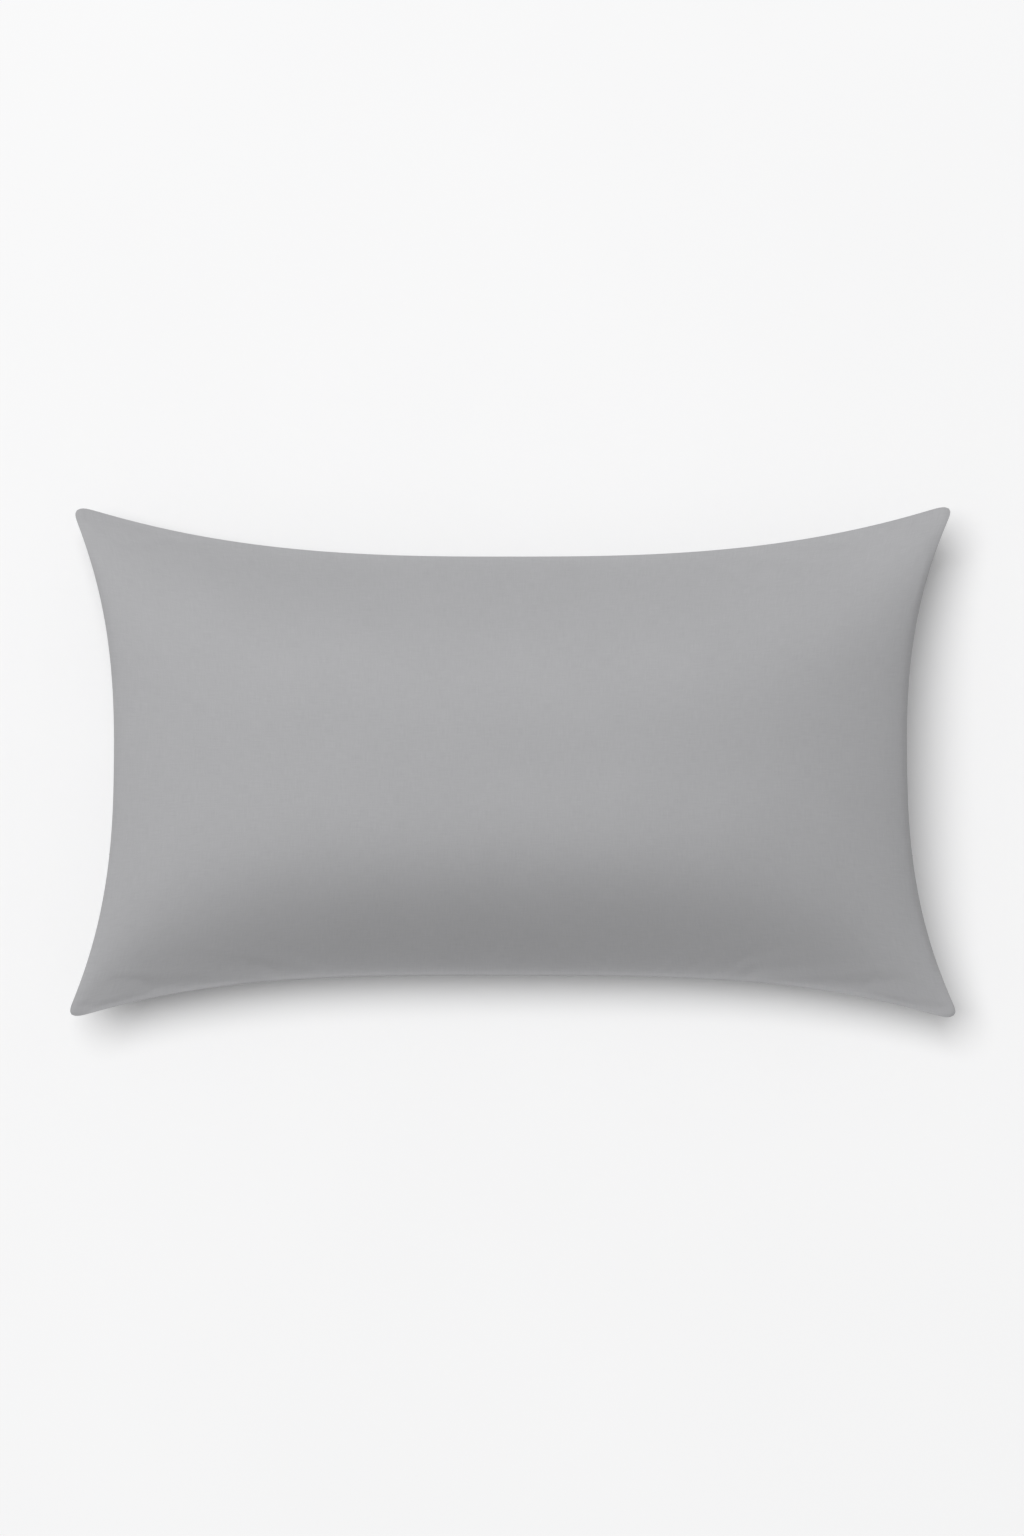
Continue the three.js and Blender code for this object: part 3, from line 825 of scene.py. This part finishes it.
def zip_coil(name, node, side, material):
    """A coil of monofilament, its loops reaching between those of the other side."""
    turns = round(2 * COIL["half_length"] / COIL["pitch"])
    angle = np.arange(turns * 10 + 1) * 2 * math.pi / 10
    x = -COIL["half_length"] + (angle / (2 * math.pi) + (0.25 if side > 0 else -0.25)) * COIL["pitch"]
    y = ZIP_Y + side * (COIL["middle"] + COIL["reach"] * np.cos(angle))
    z = COIL["level"] + COIL["height"] * np.sin(angle)
    piece = merged(name, [tube(np.stack([x, y, z], -1), COIL["filament"], 6)])
    settle(piece, "pillow", "zip_nylon", material, node)


def topstitching(material):
    """Two lines of stitches beside the zip, which hold the turned edges and the tapes."""
    level = ZIP_VALLEY["lift"] - STITCH["sunk"]
    parts = []
    for side in (1, -1):
        y = ZIP_Y + side * STITCH["from_line"]
        for x in np.arange(-STITCH["half_length"], STITCH["half_length"] - STITCH["length"], STITCH["pitch"]):
            ends = ((x, y, level), (x + STITCH["length"], y, level))
            parts.append(stitch(*ends, (0, 0, -STITCH["bow"]), STITCH["thread"]))
    settle(merged("zip_topstitching", parts), "pillow", "cover_thread", material)


def bartack(name, node, x, material):
    """A bar of close zigzag stitches across one end of the slot."""
    level = ZIP_VALLEY["lift"] - BARTACK["sunk"]
    reach = BARTACK["half_length"]
    parts = []
    rows = np.arange(-BARTACK["half_width"], BARTACK["half_width"], BARTACK["pitch"]) + ZIP_Y
    for number, y in enumerate(rows):
        lean = BARTACK["lean"] * (1 if number % 2 else -1)
        ends = ((x - reach, y - lean, level), (x + reach, y + lean, level))
        parts.append(stitch(*ends, (0, 0, -BARTACK["bow"]), BARTACK["thread"]))
    settle(merged(name, parts), "pillow", "cover_thread", material, node)


def rounded_copy(name, node, width, body, material):
    """A metal piece: the CAD piece's own shape with its edges rounded."""
    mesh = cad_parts[node].data.copy()
    work = bmesh.new()
    work.from_mesh(mesh)
    bmesh.ops.remove_doubles(work, verts=work.verts, dist=0.001 * MM)
    bmesh.ops.dissolve_limit(work, angle_limit=math.radians(1), verts=work.verts, edges=work.edges)
    work.to_mesh(mesh)
    work.free()
    piece = add_object(name, mesh)
    bevel = piece.modifiers.new("rounded", "BEVEL")
    bevel.width = width
    bevel.segments = 3
    bevel.limit_method = "ANGLE"
    bevel.angle_limit = math.radians(35)
    finished = bpy.data.meshes.new_from_object(piece.evaluated_get(bpy.context.evaluated_depsgraph_get()))
    piece.modifiers.clear()
    piece.data = finished
    settle(piece, body, "zip_metal", material, node)
    finished.polygons.foreach_set("use_smooth", [False] * len(finished.polygons))
    return piece


def label(name, node, low, high, material, thread):
    """A blank ribbon label with cut ends, a line of stitches along each of them."""
    x, y = np.linspace(low[0], high[0], 21), np.linspace(low[1], high[1], 13)
    grid = np.stack(np.meshgrid(x, y, indexing="ij"), -1)
    middle = (np.array(low[:2]) + np.array(high[:2])) / 2
    away = (grid - middle) / (np.array(high[:2]) - middle)
    level = (low[2] + high[2]) / 2 + LABEL["wave"] * np.sin(5 * away[..., 0]) * away[..., 1]
    lower = np.concatenate([grid, (level - LABEL["half_thickness"])[..., None]], -1)
    upper = np.concatenate([grid, (level + LABEL["half_thickness"])[..., None]], -1)
    piece = shell(name, upper, lower, grid)
    settle(piece, "pillow", "label_satin", material, node)
    stitches = []
    for end in (x[0] + LABEL["stitches_from_end"], x[-1] - LABEL["stitches_from_end"]):
        for y0 in np.arange(y[0] + MM, y[-1] - 2 * MM, LABEL["pitch"]):
            ends = ((end, y0, low[2]), (end, y0 + LABEL["length"], low[2]))
            stitches.append(stitch(*ends, (0, 0, -LABEL["thread"]), LABEL["thread"]))
    sewn = settle(merged(name + "_stitching", stitches), "pillow", "cover_thread", thread)


# ---- The insert ---------------------------------------------------------------------------------------


def smaller(grid, scale):
    """A copy of a grid of points, made smaller about the pillow's middle, and more so at its corners."""
    from_middle = grid - np.array(MIDDLE)
    s, t = grid_places()
    at_corner = np.abs(s * t) ** 3
    heights = np.where(from_middle[..., 2] > 0, scale[2], scale[3])
    factors = [scale[0] - CORNER_DRAW[0] * at_corner, scale[1] - CORNER_DRAW[1] * at_corner, heights]
    return np.array(MIDDLE) + from_middle * np.stack(factors, -1)


def ticking_piece(name, grid, up, material, node):
    columns = fine_lines(ALONG, FLAT_PATTERN[0], per_step=1)
    rows = fine_lines(ACROSS, FLAT_PATTERN[1], per_step=1)
    fine = resampled(smaller(grid, TICKING_SCALE), columns, rows)
    inward = normals_of(fine) * (-1 if up else 1)
    if not up:
        fine[..., 2] += valley_lift(INNER_VALLEY, fine)
    piece = shell(name, fine, fine + inward * TICKING_CLOTH, flat_places(columns, rows), up)
    settle(piece, "pillow", "ticking_cotton", material, node)


def piping(front, material):
    """The corded seam round the insert's edge."""
    grid = smaller(front, TICKING_SCALE)
    edge = np.concatenate([grid[:-1, 0], grid[-1, :-1], grid[:0:-1, -1], grid[0, :0:-1]])
    edge = even_steps(edge, 4 * MM)
    ahead = np.roll(edge, -1, 0) - np.roll(edge, 1, 0)
    outward = np.stack([ahead[:, 1], -ahead[:, 0], 0 * ahead[:, 0]], -1)
    outward /= np.linalg.norm(outward, axis=1, keepdims=True)
    piece = merged("insert_cord", [tube(edge + outward * PIPING_RADIUS, PIPING_RADIUS, 12, closed=True)])
    settle(piece, "pillow", "ticking_cotton", material, "insert_piping")


def filling(front, back, material):
    """The fibre filling: one closed, softly lumpy body."""
    cover = ClosedCover()
    top, bottom = smaller(front, FILLING_SCALE), smaller(back, FILLING_SCALE)
    bottom[..., 2] += valley_lift(FILLING_VALLEY, bottom)
    s, t = grid_places()
    lumps = 1 + np.sin(31 * s + 3 * np.sin(17 * t)) * np.sin(23 * t + 3 * np.sin(29 * s))
    inside = np.minimum(1, 8 * swell_share(s, t))
    top -= normals_of(top) * (lumps * 0.9 * MM * inside)[..., None]
    bottom += normals_of(bottom) * (lumps * 0.5 * MM * inside)[..., None]
    piece = add_object("fibre_filling", mesh_of("fibre_filling", cover.joined(top, bottom), cover.faces))
    settle(piece, "pillow", "fibre", material, "fibre_fill")


front, back = designed_cover()
moved_front, moved_back = simulate(front, back)
front, back = with_puckers(front, moved_front), with_puckers(back, moved_back)

filling(front, back, loose_fibre())
COTTON = cover_cotton()
front_panel(front, COTTON)
back_panel("cover_back", "case_back_panel", back, COTTON, True)
back_panel("cover_zip_side", "case_zip_side_panel", back, COTTON, False)
THREAD = cover_thread()
edge_seam(front, back, THREAD)
topstitching(THREAD)
bartack("bartack_left", "zip_bartack_left", -BARTACK["x"], THREAD)
bartack("bartack_right", "zip_bartack_right", BARTACK["x"], THREAD)

TAPE, NYLON, METAL = zip_tape_weave(), nylon(), satin_nickel()
for word, side in (("far", 1), ("near", -1)):
    zip_tape(f"tape_{word}", f"zip_tape_{word}", side, TAPE)
    zip_coil(f"coil_{word}", f"zip_coil_{word}", side, NYLON)
    rounded_copy(f"top_stop_{word}", f"zip_top_stop_{word}", STOP_ROUNDING, "pillow", METAL)
rounded_copy("bottom_stop", "zip_bottom_stop", STOP_ROUNDING, "pillow", METAL)
rounded_copy("slider_body", "zip_slider", SLIDER_ROUNDING, "slider", METAL)
rounded_copy("pull_tab", "zip_pull", SLIDER_ROUNDING, "pull", METAL)

TICKING = ticking_cotton()
ticking_piece("ticking_top", front, True, TICKING, "insert_top_ticking")
ticking_piece("ticking_bottom", back, False, TICKING, "insert_bottom_ticking")
piping(front, TICKING)
SATIN = label_satin()
label("care_label", "case_care_label", *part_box("case_care_label"), SATIN, THREAD)
label("insert_maker_label", "insert_label", *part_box("insert_label"), SATIN, THREAD)

make_camera()
make_floor()
make_light()
